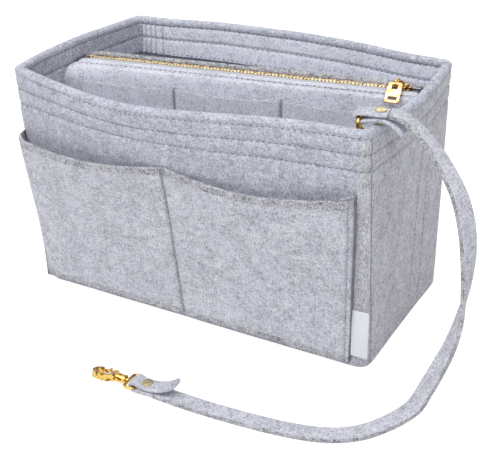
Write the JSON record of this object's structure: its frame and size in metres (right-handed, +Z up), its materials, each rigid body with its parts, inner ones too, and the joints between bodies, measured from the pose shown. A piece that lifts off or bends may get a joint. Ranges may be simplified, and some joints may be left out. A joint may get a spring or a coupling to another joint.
{
  "type": "purse organizer insert",
  "caption": "Open-topped felt organizer insert with front pockets, a zipped divider pouch with slip pockets and a felt key leash with swivel snap hooks",
  "frame": {"origin": "middle of the base's underside, where it rests", "axes": "+X along the length to the side with the key leash, +Y to the back, +Z up; the front pockets face -Y"},
  "size_m": [0.3349, 0.2371, 0.1761],
  "materials": {
    "felt": "matt pressed felt, mottled light grey",
    "zip_tape": "matt woven tape",
    "tag_fabric": "satin woven tape, blank",
    "gold_metal": "polished plating",
    "steel": "spring steel"
  },
  "bodies": {
    "organizer": {"base_panel": "felt", "front_wall": "felt", "back_wall": "felt", "left_wall": "felt", "right_wall": "felt", "front_rim_facing": "felt", "back_rim_facing": "felt", "left_rim_facing": "felt", "right_rim_facing": "felt", "front_pocket_panel": "felt", "left_pocket_pleat": "felt", "right_pocket_pleat": "felt", "side_tag": "tag_fabric", "pouch_front_panel": "felt", "pouch_back_panel": "felt", "left_pouch_gusset": "felt", "right_pouch_gusset": "felt", "pouch_bottom": "felt", "slip_pocket_panel": "felt", "zip_tape_front": "zip_tape", "zip_tape_back": "zip_tape", "zip_teeth_front": "gold_metal", "zip_teeth_back": "gold_metal", "zip_bottom_stop": "gold_metal", "zip_top_stop_front": "gold_metal", "zip_top_stop_back": "gold_metal", "leash_strap": "felt", "near_strap_fold": "felt", "far_strap_fold": "felt", "near_rivet": "gold_metal", "far_rivet": "gold_metal", "near_hook_eye": "gold_metal", "far_hook_eye": "gold_metal", "d_ring_tab": "felt"},
    "zip_slider": {"zip_slider": "gold_metal"},
    "zip_link": {"zip_pull_link": "gold_metal"},
    "zip_pull": {"zip_pull": "gold_metal"},
    "near_hook": {"near_hook_body": "gold_metal", "near_hook_pin": "gold_metal", "near_gate_spring": "steel"},
    "near_gate": {"near_hook_gate": "gold_metal"},
    "far_hook": {"far_hook_body": "gold_metal", "far_hook_pin": "gold_metal", "far_gate_spring": "steel"},
    "far_gate": {"far_hook_gate": "gold_metal"},
    "d_ring": {"d_ring": "gold_metal"}
  },
  "joints": [
    {"name": "zip_slide", "type": "slide", "parent": "organizer", "child": "zip_slider", "axis": [0.9974, 0.0652, 0.0322], "range_m": [-0.208, 0], "deforming": ["zip_teeth_front", "zip_teeth_back", "zip_tape_front", "zip_tape_back"]},
    {"name": "zip_link_swing", "type": "hinge", "parent": "zip_slider", "child": "zip_link", "pos_m": [0.11221, 0.01484, 0.16768], "axis": [0.9974, 0.0652, 0.0322], "range_deg": [-180, 0]},
    {"name": "zip_pull_swing", "type": "hinge", "parent": "zip_link", "child": "zip_pull", "pos_m": [0.11262, 0.00865, 0.16768], "axis": [0.9974, 0.0652, 0.0322], "range_deg": [-88, 0]},
    {"name": "near_swivel", "type": "hinge", "parent": "organizer", "child": "near_hook", "pos_m": [0.117, -0.056, 0.1626], "axis": [0, 0, -1], "range_deg": [-6, 6]},
    {"name": "near_gate_turn", "type": "hinge", "parent": "near_hook", "child": "near_gate", "pos_m": [0.11349, -0.056, 0.15244], "axis": [0, -1, 0], "range_deg": [0, 30], "stiffness_Nm_per_rad": 0.01, "springref_deg": -11.46, "deforming": ["near_gate_spring"]},
    {"name": "far_swivel", "type": "hinge", "parent": "organizer", "child": "far_hook", "pos_m": [0.00302, -0.15176, 0.0058], "axis": [-0.9976, -0.0698, 0], "continuous": true},
    {"name": "far_gate_turn", "type": "hinge", "parent": "far_hook", "child": "far_gate", "pos_m": [-0.00735, -0.14912, 0.00476], "axis": [-0.0206, 0.2948, 0.9553], "range_deg": [0, 30], "stiffness_Nm_per_rad": 0.01, "springref_deg": -11.46, "deforming": ["far_gate_spring"]},
    {"name": "d_ring_swing", "type": "hinge", "parent": "organizer", "child": "d_ring", "pos_m": [0.12381, -0.056, 0.13162], "axis": [0, 1, 0], "range_deg": [0, 5]}
  ]
}
